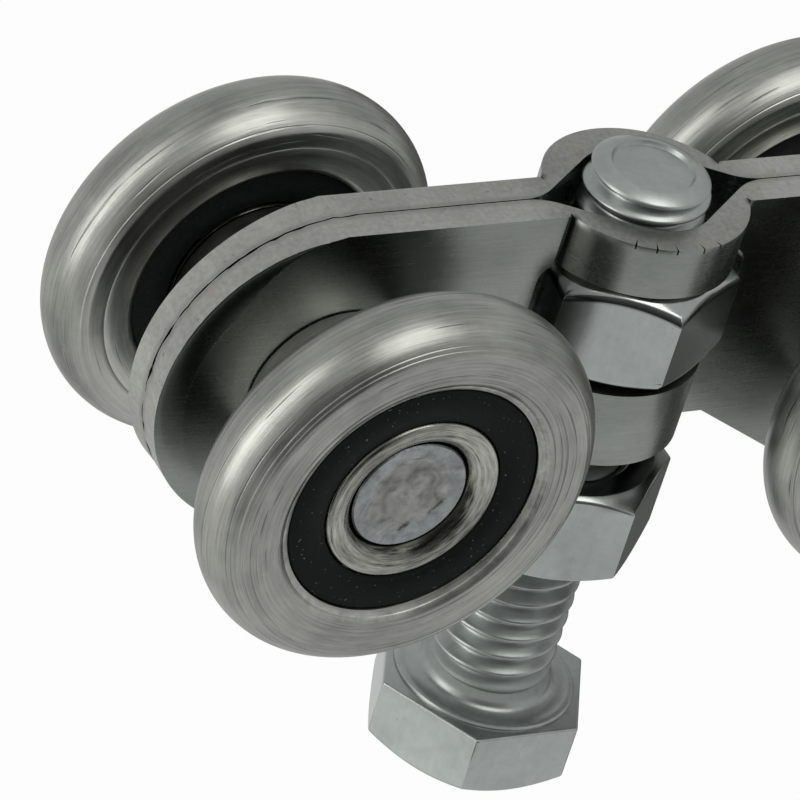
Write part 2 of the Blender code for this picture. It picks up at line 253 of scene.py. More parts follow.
def ring_grain(radius, reach, angle, fine, wander, detail=3.0, rough=0.6):
    """Noise from -0.5 to 0.5 in lines that run round the axle and wander slowly along it."""
    level = angle.maths("COSINE", angle) * wander
    place = radius.node("ShaderNodeCombineXYZ", {}, {"X": radius * fine, "Y": reach * fine, "Z": level})
    made = radius.node(
        "ShaderNodeTexNoise",
        {"noise_dimensions": "4D"},
        {
            "Vector": place,
            "W": angle.maths("SINE", angle) * wander,
            "Scale": 1.0,
            "Detail": detail,
            "Roughness": rough,
        },
    )
    return made - 0.5


def turned_steel(name, dark, light, fine, rough_low, rough_high, painted_shade_level=0.0, contrast=1.0):
    """Steel from the lathe: short streaks that run round the axle, soft smears and a few deep lines, with some
    painted light and shade.
    """
    made, spot, shader = start_finish(name, 1.0)
    radius, reach, angle, (x, y, z) = round_axle(spot)
    streaks = ring_grain(radius, reach, angle, fine, 4.0, 3.0, 0.65)
    marks = ring_grain(radius, reach, angle, fine * 0.5, 1.3, 2.0, 0.6)
    lines = ring_grain(radius, reach, angle, 3.4, 1.6, 1.0).smoother(0.16, 0.22)
    smears = grain(x, y, z, 0.2, 4.0)
    fleck = grain(x, y, z, 1.6, 2.0).smoother(0.2, 0.3)
    # Painted highlight: the lower part of the seal's bevel is painted lighter, where light from above falls on it;
    # the grain in it is real wear.
    painted_bevel_highlight = angle.maths("SINE", angle).smoother(-0.4, -1.0) * 0.2
    bevel_wear_and_highlight = radius.near(10.75, 0.6) * (grain(x, y, z, 0.5, 4.0, 0.7) + painted_bevel_highlight)
    rings = ring_grain(radius, reach, angle, 4.6, 0.55, 0.0).smoother(0.19, 0.25) * reach.smoother(12.0, 14.5)
    # Painted light: the inner face of each wheel, towards the plate, is painted lighter.
    inside = reach.smoother(11.4, 10.4) * radius.smoother(9.0, 10.0)
    tone = 0.5 + (streaks * 0.9 + marks * 0.6) * contrast + smears * 0.8 + bevel_wear_and_highlight * 2.4
    # Painted shade: the inner rim of the tread is painted darker on its lower outer side.
    under = radius.smoother(13.5, 14.5) * reach.smoother(14.0, 12.5)
    under = under * angle.maths("COSINE", angle + 0.785).smoother(0.3, 1.0)
    tone = tone - lines * 0.4 - rings * 0.32 - fleck * 0.12 + inside * 0.35 - under * 0.25
    # Painted shade and painted reflection, used on the inner rings: the countersink round the pin is painted darker,
    # most on its lower inner side, the ring's side towards the plate is painted darker, and a sweep by twice the
    # angle paints the light and dark sectors of a brushed face's reflection.
    lower_inner_bore_shade = angle.maths("COSINE", angle + 2.36).smoother(0.2, 0.9)
    painted_bore_shade_and_sweep = radius.near(4.9, 0.8) * (1.0 + lower_inner_bore_shade) + reach.smoother(11.5, 11.0) * 1.5
    painted_bore_shade_and_sweep = painted_bore_shade_and_sweep + angle.maths("SINE", angle * 2.0) * 0.5
    tone = tone - painted_bore_shade_and_sweep * painted_shade_level
    colour = tone.mix(dark, light)
    roughness = rough_low + (rough_high - rough_low) * (0.5 + streaks * 0.8 + smears * 0.8)
    shade(shader, colour, roughness, streaks * 0.4 + marks * 0.3 - lines * 0.5 - rings * 0.4, 0.00005, 0.5)
    return made


def scored(profile, places, depth=0.05, width=0.09):
    """Cut shallow tool marks into a profile after the given points."""
    marked = []
    for number, (first, second) in enumerate(zip(profile, profile[1:] + profile[:1])):
        marked.append(first)
        if number in places:
            along = Vector(second) - Vector(first)
            inward = Vector((along.y, -along.x)).normalized() * depth
            for share, sunk in ((0.5 - width / along.length, 0), (0.5, 1), (0.5 + width / along.length, 0)):
                point = Vector(first) + along * share + inward * sunk
                marked.append((point.x, point.y))
    return marked


wheel_profile = arc((12.0, 0.0), 4.0, 60.9, -57.5, 44)
wheel_profile += [(13.9, -3.42), (13.6, -3.44), (13.0, -3.47), (12.8, -3.48), (12.7, -3.44), (12.6, -3.5)]
wheel_profile += [(11.8, -3.5), (10.82, -3.5), (10.74, -3.46), (10.3, -3.1), (10.25, -3.0)]
wheel_profile += arc((8.65, 0.0), 2.085, -39.8, 39.8, 8)
wheel_profile += [(10.25, 2.8), (10.28, 2.88), (11.2, 3.45), (11.32, 3.5), (11.9, 3.5), (12.9, 3.5), (13.6, 3.5)]
wheel_profile = scored(wheel_profile, (1, 3, 41, 66, 68), 0.03, 0.07)
wheel_steel = turned_steel("turned_wheel_steel", (0.149, 0.154, 0.145), (0.56, 0.565, 0.532), 6.0, 0.26, 0.42, 0.0, 0.85)
wheels = copies(turned("tread", wheel_profile, 160), "tread")
for corner, piece in wheels.items():
    piece.data.materials.append(wheel_steel)
    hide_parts("wheel_" + corner)
    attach(piece, "wheel_" + corner + "_body")

# Seals.  A black rubber washer closes each side of the bearing, sprung into
# the wheel's seat with a thin lip towards the inner ring.  Dust sits on it.
made, spot, shader = start_finish("seal_black_rubber", 0.0, 0.1)
radius, reach, angle, (x, y, z) = round_axle(spot)
dust = grain(x, y, z, 2.6, 4.0, 0.65)
specks = grain(x, y, z, 4.0, 1.0).smoother(0.22, 0.28)
ripple = ring_grain(radius, reach, angle, 3.0, 0.5, 2.0)
colour = (0.35 + dust * 1.1 + ripple * 0.4).mix((0.0022, 0.0026, 0.003), (0.007, 0.0084, 0.0092))
colour = (specks * 0.7).mix(colour, (0.16, 0.17, 0.18))
colour = (reach.smoother(12.0, 11.5) * (0.7 + dust)).mix(colour, (0.02, 0.021, 0.022))
shade(shader, colour, 0.5 + dust * 0.25 + specks * 0.3, ripple * 0.6 + dust * 0.3, 0.00005, 0.5)
seal_rubber = made

seal_profile = [(7.17, 2.6), (7.2, 2.7), (7.4, 2.78), (7.9, 2.82), (8.05, 2.88), (9.55, 2.88)]
seal_profile += [(9.7, 2.84), (9.9, 2.84), (10.08, 2.8), (10.18, 2.7), (10.18, 2.46), (7.25, 2.46), (7.17, 2.5)]
for place, side in (("outer", 1.0), ("inner", -1.0)):
    profile = [(radius, reach * side) for radius, reach in seal_profile]
    for corner, piece in copies(turned("seal", profile, 128), "seal_lip_" + place).items():
        piece.data.materials.append(seal_rubber)
        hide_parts("seal_" + place + "_" + corner)
        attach(piece, "wheel_" + corner + "_body")

# Inner rings.  Hard ground steel, pressed on the axle; the bore is
# countersunk on the outside, where the axle's end is staked into it.
# The rings carry painted shade round the bore and a painted sweep of reflection on their faces.
ring_steel = turned_steel("ground_ring_steel", (0.043, 0.045, 0.038), (0.61, 0.618, 0.56), 7.0, 0.18, 0.34, 0.26, 1.6)
ring_profile = [(4.74, 0.95), (4.76, 1.35), (4.78, 1.7), (4.84, 1.97), (4.95, 2.17), (5.15, 2.43), (5.4, 2.65)]
ring_profile += [(5.7, 2.82), (6.0, 2.91), (6.3, 2.95), (6.75, 2.95), (6.92, 2.9), (7.05, 2.76), (7.1, 2.55), (7.1, 1.4)]
ring_profile += [(6.6, 0.8), (6.57, 0.0), (6.6, -0.8), (7.1, -1.4), (7.1, -2.75), (7.0, -2.95)]
ring_profile += [(4.1, -2.95), (4.1, 0.9), (4.55, 1.05)]
for corner, piece in copies(turned("ring", ring_profile, 128), "ring").items():
    piece.data.materials.append(ring_steel)
    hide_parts("inner_ring_" + corner)
    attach(piece, "frame")

# Spacers.  A short length of round bar, bored for the axle, keeps each
# bearing's inner ring off the plate.
# Lit and shaded copies of one zinc finish: the front left and back right spacers are painted light, the other two
# painted shade.
lit_spacer_steel = turned_steel("spacer_zinc", (0.45, 0.453, 0.42), (0.86, 0.862, 0.81), 3.0, 0.40, 0.54)
shaded_spacer_steel = turned_steel("spacer_zinc_painted_shade", (0.08, 0.08, 0.075), (0.32, 0.32, 0.30), 3.0, 0.30, 0.44)
spacer_profile = [(4.1, -3.05), (6.8, -3.05), (7.0, -3.1), (7.1, -3.25), (7.1, -10.6), (7.0, -10.8), (6.8, -10.85)]
spacer_profile += [(4.1, -10.85)]
for corner, piece in copies(turned("spacer", spacer_profile, 96), "spacer_tube").items():
    piece.data.materials.append(lit_spacer_steel if corner in ("front_left", "back_right") else shaded_spacer_steel)
    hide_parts("spacer_" + corner)
    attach(piece, "frame")

# Axles.  A plain steel pin through both plates carries a wheel at each end.
# Its ends are staked: spread into the rings' countersinks by a blunt tool
# that leaves a shallow dish with a smeared, hammered floor.
made, spot, shader = start_finish("staked_axle_steel", 1.0)
radius, reach, angle, (x, y, z) = round_axle(spot)
flow = grain(x, y * 0.3, z, 0.3, 1.0, 0.5)
drift = grain(z + 7.0, y * 0.3, x - 5.0, 0.3, 1.0, 0.5)
smear = grain(x * 0.7 + flow * 7.0, y * 0.3, z + drift * 7.0, 0.42, 3.0, 0.6)
swirl = ring_grain(radius + flow * 6.0, reach, angle + drift * 2.0, 0.9, 0.8, 1.0)
pits = grain(x, y, z, 1.5, 2.0, 0.5)
high_spots = (reach + smear * 0.1).smoother(15.58, 15.64)
tone = 0.5 + smear * 1.5 + swirl * 0.9 + pits * 0.5
colour = tone.mix((0.094, 0.095, 0.09), (0.49, 0.495, 0.475))
colour = high_spots.mix(colour, (0.45 + smear * 1.2 + pits * 0.8).mix((0.125, 0.133, 0.137), (0.46, 0.482, 0.488)))
shade(shader, colour, 0.26 + pits * 0.16 + smear * 0.15, smear * 0.5 + swirl * 0.4 + pits * 0.1, 0.0002, 0.5)
axle_steel = made

end_face = [(0.125 * step, 2.15) for step in range(1, 32)]
stake = [(4.05, 2.18), (4.35, 2.25), (4.57, 2.24), (4.68, 2.12), (4.66, 1.4), (4.3, 1.15), (4.0, 1.05)]
half = [(0.0, 2.15)] + end_face + stake
middle = -2 * wheel_y
axle_profile = half + [(radius, middle - reach) for radius, reach in reversed(half)]
axle = turned("pin", axle_profile, 96, closed=False)
for vertex in axle.data.vertices:
    x, y, z = vertex.co / unit
    out = math.hypot(x + wheel_x, z - axle_z)
    if abs(y) > 15.5 and out < 4.0:
        spot = Vector((x, y * 0.2, z))
        dent = noise.noise(spot * 0.8) + 0.5 * noise.noise(spot * 2.1)
        shore = 3.4 + 0.7 * noise.noise(spot * 0.6 + Vector((3.0, 1.0, 2.0))) - out
        depth = 0.07 * dent - 0.12 * min(max(shore / 0.4, 0.0), 1.0)
        vertex.co.y *= 1.0 + depth / abs(y)
axle.name = "pin_left"
other = axle.copy()
other.data = axle.data.copy()
other.data.transform(Matrix.Rotation(math.pi, 4, "Z"))
other.name = "pin_right"
bpy.context.scene.collection.objects.link(other)
for piece, column in ((axle, "left"), (other, "right")):
    piece.data.materials.append(axle_steel)
    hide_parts("axle_" + column)
    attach(piece, "frame")

# Plates.  Two pressings of zinc-plated strip stand back to back.  Each is
# blanked with round lobes and a window, then pressed out between two sharp
# bends into straps that go round the bolt.  The blanking rolls over the rim
# of the lobes and leaves a rough burr along the seam.
plate_face = 2.55
seam = 0.05
hollow = 5.35
bulge_depth = 7.85
bulge_half = 8.3
mouth = 9.2


def blank(name, outline, travel):
    """Extrude a flat outline of points along a direction."""
    bpy.ops.object.select_all(action="DESELECT")
    bpy.ops.mesh.primitive_circle_add(vertices=len(outline), radius=0.01, fill_type="NGON")
    piece = bpy.context.object
    piece.name = name
    for vertex, point in zip(piece.data.vertices, outline):
        vertex.co = Vector(point) * unit
    bpy.ops.object.mode_set(mode="EDIT")
    bpy.ops.mesh.select_all(action="SELECT")
    bpy.ops.mesh.extrude_region_move(TRANSFORM_OT_translate={"value": Vector(travel) * unit})
    bpy.ops.mesh.select_all(action="SELECT")
    bpy.ops.mesh.normals_make_consistent(inside=False)
    bpy.ops.object.mode_set(mode="OBJECT")
    return piece


def cut(piece, tool, operation):
    """Apply a Boolean with a tool, then throw the tool away."""
    bpy.ops.object.select_all(action="DESELECT")
    bpy.context.view_layer.objects.active = piece
    piece.select_set(True)
    change = piece.modifiers.new("cut", "BOOLEAN")
    change.operation = operation
    change.solver = "EXACT"
    change.object = tool
    bpy.ops.object.modifier_apply(modifier=change.name)
    bpy.data.objects.remove(tool, do_unlink=True)


def soften(piece, width, segments, angle):
    """Round a piece's edges by a width."""
    bpy.ops.object.select_all(action="DESELECT")
    bpy.context.view_layer.objects.active = piece
    piece.select_set(True)
    change = piece.modifiers.new("soften", "BEVEL")
    change.width = width * unit
    change.segments = segments
    change.limit_method = "ANGLE"
    change.angle_limit = math.radians(angle)
    change.use_clamp_overlap = True
    bpy.ops.object.modifier_apply(modifier=change.name)


def eased(first, corner, last, steps):
    """Points of a short curve round a corner, both ends included."""
    points = []
    for step in range(steps + 1):
        share = step / steps
        start = Vector(first).lerp(corner, share)
        points.append(tuple(start.lerp(Vector(corner).lerp(last, share), share)))
    return points


def both_sides(path):
    """A path in plan and its mirror image to the right."""
    return path + [(-x, y) for x, y in reversed(path)]


crease = bulge_half * math.sqrt(1.0 - (plate_face / bulge_depth) ** 2)
outer_path = [(-60.0, -plate_face), (-crease - 0.5, -plate_face), (-crease - 0.25, -plate_face + 0.04)]
outer_path += [(-crease - 0.08, -plate_face + 0.4), (-crease + 0.02, -plate_face + 0.3), (-crease + 0.08, -plate_face - 0.2)]
for step in range(29):
    turn = math.radians(201.5 + 68.5 * step / 28.5)
    outer_path.append((bulge_half * math.cos(turn), bulge_depth * math.sin(turn)))
touch = math.pi + math.acos(hollow / mouth)
flare = Vector((hollow * math.cos(touch) + mouth, hollow * math.sin(touch) + seam)).normalized() * 1.5
inner_path = [(-60.0, -seam)] + eased((-mouth - 1.5, -seam), (-mouth, -seam), (flare.x - mouth, flare.y - seam), 8)
inner_path += arc((0.0, 0.0), hollow, math.degrees(touch), 269.0, 20)
plan = both_sides(outer_path) + list(reversed(both_sides(inner_path)))
lobe = (25.7, 0.3)
lobe_radius = 13.7
lobe_start = 79.5
run = lobe[0] - 10.3
fall = lobe[1] + 6.5
lobe_end = math.degrees(math.atan2(-fall, -run) + math.acos(lobe_radius / math.hypot(run, fall)))
side_view = [(0.7 * step, 14.0) for step in range(1, 40)] + arc(lobe, lobe_radius, lobe_start, lobe_end, 110)
side_view += [(10.3, -6.5)]
side_view += [(-x, z) for x, z in reversed(side_view)]
window = arc((7.8, 8.0), 1.5, 0.0, 90.0, 10) + arc((-7.8, 8.0), 1.5, 90.0, 180.0, 10)
window += arc((-7.8, 1.7), 1.5, 180.0, 270.0, 10) + arc((7.8, 1.7), 1.5, 270.0, 360.0, 10)


def rolled_rim(name, side):
    """A tool that rounds the outer rim of a lobe from the end of the straight top downwards."""
    width = 2.4
    depth = 0.38
    corner = [(lobe_radius + 0.5, -plate_face + depth), (lobe_radius + 0.5, -plate_face - 0.5)]
    corner += [(lobe_radius - width, -plate_face - 0.5)]
    for turn in (0.1, 0.3, 0.5, 0.7, 0.9, 1.1, 1.3, 1.45, 1.53):
        out = lobe_radius - width + (width + 0.02) * math.sin(turn)
        corner.append((out, -plate_face + depth * (1.0 - math.cos(turn))))
    start = math.radians(lobe_start)
    bpy.ops.object.select_all(action="DESELECT")
    bpy.ops.mesh.primitive_circle_add(vertices=len(corner), radius=0.01, fill_type="NGON")
    tool = bpy.context.object
    tool.name = name
    for vertex, (out, y) in zip(tool.data.vertices, corner):
        x = side * (lobe[0] + out * math.cos(start))
        vertex.co = Vector((x, y, rise + lobe[1] + out * math.sin(start))) * unit
    bpy.ops.object.mode_set(mode="EDIT")
    bpy.ops.mesh.select_all(action="SELECT")
    bpy.ops.mesh.spin(
        steps=100,
        angle=side * math.radians(lobe_end - lobe_start),
        center=(side * lobe[0] * unit, 0.0, (rise + lobe[1]) * unit),
        axis=(0.0, 1.0, 0.0),
    )
    bpy.ops.mesh.select_all(action="SELECT")
    bpy.ops.mesh.normals_make_consistent(inside=False)
    bpy.ops.object.mode_set(mode="OBJECT")
    for vertex in tool.data.vertices:
        x, y, z = vertex.co / unit
        turn = math.degrees(math.atan2(z - rise - lobe[1], side * x - lobe[0]))
        near_end = max(1.0 - min(lobe_start - turn, turn - lobe_end) / 40.0, 0.0)
        vertex.co.y -= near_end * near_end * depth * unit
    return tool


rise = axle_z
plate = blank("plate_pressing_front", [(x, y, rise - 20.0) for x, y in plan], (0.0, 0.0, 40.0))
cut(plate, blank("outline", [(x, -15.0, rise + z) for x, z in side_view], (0.0, 30.0, 0.0)), "INTERSECT")
cut(plate, blank("window", [(x, -15.0, rise + z) for x, z in window], (0.0, 30.0, 0.0)), "DIFFERENCE")
for side in (-1.0, 1.0):
    hole = [(side * 25.0 + x, -15.0, rise + z) for x, z in arc((0.0, 0.0), 4.1, 0.0, 352.5, 47)]
    cut(plate, blank("hole", hole, (0.0, 30.0, 0.0)), "DIFFERENCE")
soften(plate, 0.16, 2, 40.0)
for vertex in plate.data.vertices:
    x, y, z = vertex.co / unit
    if -0.3 < y < -0.1 and abs(x) > mouth + 2.0:
        burr = noise.noise(Vector((x, 0.0, z)) * 1.7) + 0.6 * noise.noise(Vector((x, 9.0, z)) * 5.0)
        vertex.co.y -= (0.1 + max(burr, -0.3) * 0.3) * unit
    out = math.hypot(abs(x) - lobe[0], z - rise - lobe[1])
    if y > -0.3 and abs(out - lobe_radius) < 0.3 and abs(x) > lobe[0]:
        chips = 0.1 + 0.24 * max(noise.noise(Vector((x, 4.0, z)) * 1.1), 0.0)
        inward = Vector((math.copysign(lobe[0], x) - x, 0.0, rise + lobe[1] - z)) / out
        vertex.co += inward * chips * (y + 0.3) / 0.25 * unit
for side in (-1.0, 1.0):
    cut(plate, rolled_rim("roll", side), "DIFFERENCE")
back = plate.copy()
back.data = plate.data.copy()
back.data.transform(Matrix.Rotation(math.pi, 4, "Z"))
back.name = "plate_pressing_back"
bpy.context.scene.collection.objects.link(back)
bpy.ops.object.select_all(action="DESELECT")
bpy.context.view_layer.objects.active = plate
plate.select_set(True)
bpy.ops.object.mode_set(mode="EDIT")
bpy.ops.mesh.select_all(action="SELECT")
bpy.ops.mesh.bisect(plane_co=(0.0, 0.0, (rise + 13.3) * unit), plane_no=(0.0, 0.0, 1.0))
bpy.ops.object.mode_set(mode="OBJECT")
for turn_deg in (-125.0, -113.0, -101.0, -84.0, -72.0):
    direction = Matrix.Rotation(math.radians(turn_deg), 3, "Z")
    wedge = [(7.1, 0.0), (8.2, 0.1), (8.2, -0.1)]
    outline = [direction @ Vector((x, y, 0.0)) for x, y in wedge]
    cut(plate, blank("tear", [(p.x, p.y, rise + 13.6) for p in outline], (0.0, 0.0, 1.0)), "DIFFERENCE")

def zinc_sheet(name, dark, light, rough, sheared):
    """Zinc-plated sheet: mottled and rolled on its faces, torn and nicked across its cut edges, with painted shade in
    the bends, on the lower edges and on the outer lobes and wings.
    """
    made, spot, shader = start_finish(name, 1.0)
    x, y, z = xyz(spot)
    mottle = grain(x, y, z, 0.16, 4.0, 0.6)
    cloud = grain(x * 0.5, y, z, 0.09, 2.0)
    pits = grain(x, y, z, 2.2, 3.0, 0.6)
    if sheared:
        streaks = grain(x * 2.4, y * 0.5, z * 2.4, 1.0, 4.0, 0.65)
        nicks = grain(x, y * 1.6, z, 1.3, 2.0, 0.6).smoother(0.16, 0.24) * 0.8
        nicks = nicks + abs(y).near(0.2, 0.5) * (0.5 + pits * 2.0)
    else:
        streaks = grain(x * 0.25, y * 2.0, z * 5.0, 1.0, 3.0, 0.6)
        nicks = grain(x * 5.0 + z * 2.0, y, z * 0.35 - x * 0.1, 0.8, 1.0).smoother(0.2, 0.26) * -0.15
    # Painted shade in the sharp bends beside the straps.
    crease_painted_shade = abs(x).near(7.85, 0.6) * abs(y).near(2.7, 0.7)
    tone = 0.5 + mottle * 0.5 + cloud * 0.7 + streaks * 0.35 + pits * 0.15 - nicks * 0.5
    if sheared:
        stains = grain(x, y * 1.5, z, 0.5, 3.0, 0.65).smoother(0.02, 0.2) * 0.5
        # Painted shade: the edges are painted darker towards the bottom of the lobes; they are also darker over the
        # straps.
        tone = tone + pits * 0.5 - (z - rise).smoother(10.0, 2.0) * 0.16 - abs(x).smoother(11.0, 8.0) * 0.25
        colour = stains.mix(tone.mix(dark, light), (0.40, 0.36, 0.30))
    else:
        # Painted shade: the outer upper parts of the lobes are painted darker, towards black, and the wings outside
        # the straps a little darker.
        out = ((abs(x) - lobe[0]) ** 2.0 + (z - rise - lobe[1]) ** 2.0) ** 0.5
        painted_lobe_shade = (abs(x) - 19.0).smoother(0.0, 7.0) * out.smoother(5.0, 12.0) * (z - rise).smoother(-9.0, 1.0)
        tone = tone - painted_lobe_shade * 0.42 - abs(x).smoother(8.0, 13.0) * 0.13
        colour = (painted_lobe_shade * 0.5).mix(tone.mix(dark, light), (0.05, 0.056, 0.05))
    colour = (crease_painted_shade * 0.7).mix(colour, (0.02, 0.02, 0.018))
    roughness = rough + mottle * 0.12 + pits * 0.04 + streaks * 0.06
    shade(shader, colour, roughness, streaks * 0.3 - nicks * 0.5, 0.00003, 0.3)
    return made


plate_zinc = zinc_sheet("pressed_zinc_plate", (0.158, 0.174, 0.163), (0.455, 0.48, 0.455), 0.27, False)
edge_zinc = zinc_sheet("sheared_zinc_edge", (0.26, 0.264, 0.25), (0.64, 0.643, 0.615), 0.36, True)
for piece, row in ((plate, "front"), (back, "back")):
    bpy.ops.object.select_all(action="DESELECT")
    bpy.context.view_layer.objects.active = piece
    piece.select_set(True)
    finish_mesh(piece, 38.0, True)
    piece.data.materials.append(plate_zinc)
    piece.data.materials.append(edge_zinc)
    for face in piece.data.polygons:
        on_strap = abs(face.center.x) < 10.0 * unit and abs(face.normal.z) < 0.3
        if abs(face.normal.y) < 0.5 and not on_strap:
            face.material_index = 1
    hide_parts("plate_" + row)
    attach(piece, "frame")

# Nuts.  Cold-formed hexagon nuts with both ends chamfered, bright zinc
# plated.  One is held in the window between the straps, the other runs on
# the bolt and locks the door's bracket against its head.
made, spot, shader = start_finish("bright_zinc_plating", 1.0)
x, y, z = xyz(spot)
threads = (x * x + y * y).smoother(28.0, 25.0)
dull = threads * (z.smoother(14.0, 8.0) * 0.2 + z.smoother(27.0, 29.0) * 0.16 + 0.05)
dull = dull + z.near(-16.5, 2.8) * 0.28 + z.near(2.0, 7.0) * 0.16
# Painted shade on the jam nut's top, in the gap under the lower strap, and on its top chamfer towards the front
# right.
painted_gap_shade = (x * x + y * y).smoother(66.0, 50.0) * z.near(6.3, 0.5)
painted_gap_shade = painted_gap_shade + (x * 0.34 - y * 0.94).smoother(6.6, 8.2) * z.near(5.8, 0.8) * 0.6
# Painted reflection on the captive nut: a dark line just under the rounded rim of its top chamfer, and a darker front
# left part of its faces.
under_rim = 29.5 - (x * x + y * y) ** 0.5 * 0.577 - z
painted_dark_reflection = under_rim.near(0.34, 0.3) * 0.75 + (y * 0.5 - x * 0.866).smoother(0.6, 4.4) * y.smoother(-1.0, -3.0) * 0.6
painted_dark_reflection = painted_dark_reflection * z.smoother(15.0, 16.5) * z.smoother(25.3, 25.0)
cloud = grain(x, y, z, 0.14, 3.0, 0.55)
frost = grain(x, y, z, 1.1, 4.0, 0.6)
drag = grain(x * 1.2, y * 1.2, z * 0.12, 2.2, 2.0)
specks = grain(x, y, z, 3.2, 1.0).smoother(0.25, 0.3)
tone = 0.55 + cloud * 0.7 + frost * 0.35 + drag * 0.15
colour = tone.mix((0.238, 0.258, 0.254), (0.576, 0.608, 0.6))
colour = (specks * 0.4).mix(colour, (0.13, 0.125, 0.12))
colour = (painted_gap_shade * 0.85 + painted_dark_reflection).mix(colour, (0.045, 0.056, 0.054))
shade(shader, colour, 0.15 + cloud * 0.1 + frost * 0.08 + dull, frost * 0.25 + drag * 0.1, 0.00003, 0.35)
bright_zinc = made

flats = 16.0
corner_reach = flats / math.sqrt(3.0)
face_reach = 0.466 * flats
slope = math.tan(math.radians(30.0))


def lathe_tool(name, profile, steps):
    """A closed solid round the bolt's axis from (radius, height) points, top to bottom."""
    bpy.ops.object.select_all(action="DESELECT")
    bpy.ops.mesh.primitive_circle_add(vertices=len(profile), radius=0.01, fill_type="NOTHING")
    piece = bpy.context.object
    piece.name = name
    for vertex, (radius, height) in zip(piece.data.vertices, profile):
        vertex.co = Vector((radius, 0.0, height)) * unit
    open_loop(piece)
    bpy.ops.object.mode_set(mode="EDIT")
    bpy.ops.mesh.select_all(action="SELECT")
    bpy.ops.mesh.spin(steps=steps, angle=math.tau, center=(0.0, 0.0, 0.0), axis=(0.0, 0.0, 1.0))
    bpy.ops.object.mode_set(mode="OBJECT")
    return finish_mesh(piece)


def hexagon(name, low, high, turn_deg):
    """A hexagon bar between two heights with one corner at an angle."""
    points = arc((0.0, 0.0), corner_reach, turn_deg, turn_deg + 300.0, 5)
    return blank(name, [(x, y, low) for x, y in points], (0.0, 0.0, high - low))


def ease_chamfers(piece, wide, narrow):
    """Round the rims of the chamfers wide and the other edges narrow."""
    sides = {}
    for face in piece.data.polygons:
        for key in face.edge_keys:
            sides.setdefault(key, []).append(face.normal)
    weights = piece.data.attributes.new("bevel_weight_edge", "FLOAT", "EDGE")
    for edge in piece.data.edges:
        first, second = sides[edge.key]
        if first.angle(second) > math.radians(18.0):
            level, tilted = sorted((abs(first.z), abs(second.z)))
            out = piece.data.vertices[edge.vertices[0]].co.xy.length / unit
            rim = level < 0.05 and 0.4 < tilted < 0.95 and out > 7.0
            weights.data[edge.index].value = 1.0 if rim else narrow / wide
    change = piece.modifiers.new("ease", "BEVEL")
    change.limit_method = "WEIGHT"
    change.width = wide * unit
    change.segments = 4
    bpy.ops.object.modifier_apply(modifier=change.name)


def nut(name, low, turn_deg, ease):
    """A hexagon nut with chamfered corners and a countersunk bore."""
    high = low + 8.4
    piece = hexagon(name, low, high, turn_deg)
    past = corner_reach + 1.0
    drop = (past - face_reach) * slope
    trim = [(0.0, high), (face_reach, high), (past, high - drop), (past, low + drop), (face_reach, low), (0.0, low)]
    cut(piece, lathe_tool("trim", trim, 144), "INTERSECT")
    bore = [(0.0, high + 1.0), (6.6, high + 1.0), (5.1, high - 0.5), (5.1, low + 0.5), (6.6, low - 1.0), (0.0, low - 1.0)]
    cut(piece, lathe_tool("bore", bore, 96), "DIFFERENCE")
    ease_chamfers(piece, ease, 0.1)
    return finish_mesh(piece, 40.0, True)


captive = nut("nut_captive", rise + 0.8, -90.0, 0.54)
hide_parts("captive_nut")
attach(captive, "frame")
jam = nut("nut_jam", rise - 18.15, -78.0, 0.2)
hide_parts("jam_nut")
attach(jam, "jam_nut_body")
for piece in (captive, jam):
    piece.data.materials.append(bright_zinc)

# Hanging bolt.  A cold-headed 5/16 inch hexagon bolt, threaded over its whole
# length by rolling and bright zinc plated.  It hangs head down.  Its end, which
# the rolling has left dished with a lip, stands out above the upper strap.
pitch = 32.0 / 18.0
crest = 4.98
root = 3.95
bolt_top = rise + 16.2
bearing = rise - 33.4
columns = 96
tooth = [(0.0, 0.0), (0.05, 0.0), (0.1, 0.04), (0.16, 0.16), (0.28, 0.54), (0.39, 0.88), (0.44, 0.97), (0.5, 1.0)]
tooth += [(0.56, 0.97), (0.61, 0.88), (0.72, 0.54), (0.84, 0.16), (0.9, 0.04), (0.95, 0.0)]
thread_low = bearing + 0.6
thread_high = bolt_top - 0.6
turns = int((thread_high - thread_low) / pitch) + 4
rows = turns * len(tooth)


def thread_form(height, start):
    """How far the thread stands out, from 0 at the root to 1 at the crest."""
    place = ((height - start) / pitch) % 1.0
    for (low, low_form), (high, high_form) in zip(tooth, tooth[1:] + [(1.0, 0.0)]):
        if low <= place <= high:
            return low_form + (high_form - low_form) * (place - low) / (high - low)
    return 0.0


bpy.ops.object.select_all(action="DESELECT")
bpy.ops.mesh.primitive_grid_add(x_subdivisions=columns, y_subdivisions=rows, size=1.0)
bolt = bpy.context.object
bolt.name = "bolt_hanging"
for vertex in bolt.data.vertices:
    column = round((vertex.co.x + 0.5) * columns)
    row = round((vertex.co.y + 0.5) * rows)
    angle = math.tau * column / columns
    start = rise + 13.06 + pitch * (column / columns + 1.5 - turns)
    offset, form = tooth[row % len(tooth)]
    height = start + pitch * (row // len(tooth) + offset)
    if height < thread_low or height > thread_high:
        height = min(max(height, thread_low), thread_high)
        form = thread_form(height, start)
    radius = root + (crest - root) * form
    faded = min(max((bearing + 2.0 - height) / 1.1, 0.0), 1.0)
    radius += (4.6 - radius) * faded
    radius = min(radius, 4.62 + 0.36 * max(bolt_top - height - 0.7, 0.0))
    vertex.co = Vector((radius * math.cos(angle), radius * math.sin(angle), height)) * unit
bpy.ops.object.mode_set(mode="EDIT")
bpy.ops.mesh.select_mode(type="VERT")
bpy.ops.mesh.select_all(action="SELECT")
bpy.ops.mesh.remove_doubles(threshold=1e-6)
bpy.ops.mesh.select_all(action="DESELECT")
bpy.ops.mesh.select_non_manifold()
bpy.ops.mesh.fill_holes(sides=0)
bpy.ops.mesh.select_all(action="SELECT")
bpy.ops.mesh.normals_make_consistent(inside=False)
